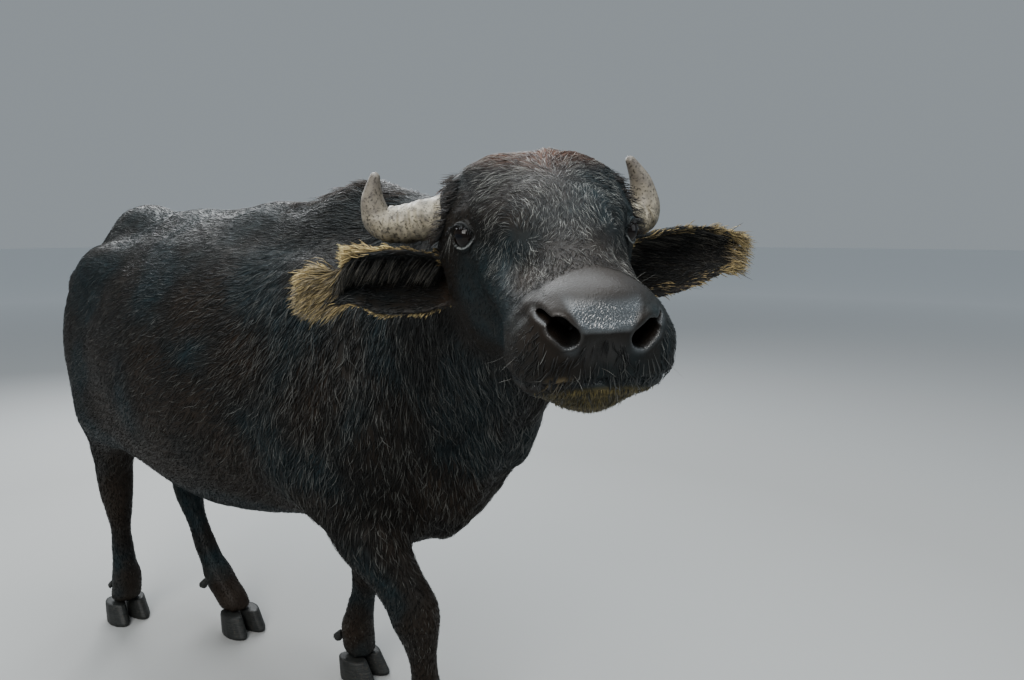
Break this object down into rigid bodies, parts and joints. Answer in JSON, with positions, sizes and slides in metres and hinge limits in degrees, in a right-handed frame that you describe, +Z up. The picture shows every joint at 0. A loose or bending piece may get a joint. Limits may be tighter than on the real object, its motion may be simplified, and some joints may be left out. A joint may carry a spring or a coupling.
{
  "type": "water buffalo",
  "caption": "Life-size water buffalo standing in mid-step with its head held out and turned to its right, short curved horns and wide ears.",
  "frame": {"origin": "middle of the whole animal's box, on the floor it stands on", "axes": "+Z up, the animal faces -Y, its right side is -X"},
  "size_m": [0.879, 2.2282, 1.3678],
  "materials": {
    "hide": "short dark hair over near-black skin, lighter hair tips",
    "ear": "dark hide fringed with long tan hair",
    "switch_hair": "long coarse dark hair",
    "horn": "grey-tan, ringed and flecked",
    "claw": "blue-grey, ridged",
    "eye": "wet and glossy"
  },
  "bodies": {
    "root": {"torso": "hide", "neck": "hide", "head": "hide", "eye_right": "eye", "eye_left": "eye", "horn_right": "horn", "horn_left": "horn", "ear_right": "ear", "ear_left": "ear", "tail": "hide", "tail_switch": "switch_hair", "foreleg_right": "hide", "foreleg_left": "hide", "hindleg_right": "hide", "hindleg_left": "hide", "claw_foreleg_right_outer": "claw", "dewclaw_foreleg_right_outer": "claw", "claw_foreleg_right_inner": "claw", "dewclaw_foreleg_right_inner": "claw", "claw_foreleg_left_outer": "claw", "dewclaw_foreleg_left_outer": "claw", "claw_foreleg_left_inner": "claw", "dewclaw_foreleg_left_inner": "claw", "claw_hindleg_right_outer": "claw", "dewclaw_hindleg_right_outer": "claw", "claw_hindleg_right_inner": "claw", "dewclaw_hindleg_right_inner": "claw", "claw_hindleg_left_outer": "claw", "dewclaw_hindleg_left_outer": "claw", "claw_hindleg_left_inner": "claw", "dewclaw_hindleg_left_inner": "claw"}
  },
  "joints": []
}
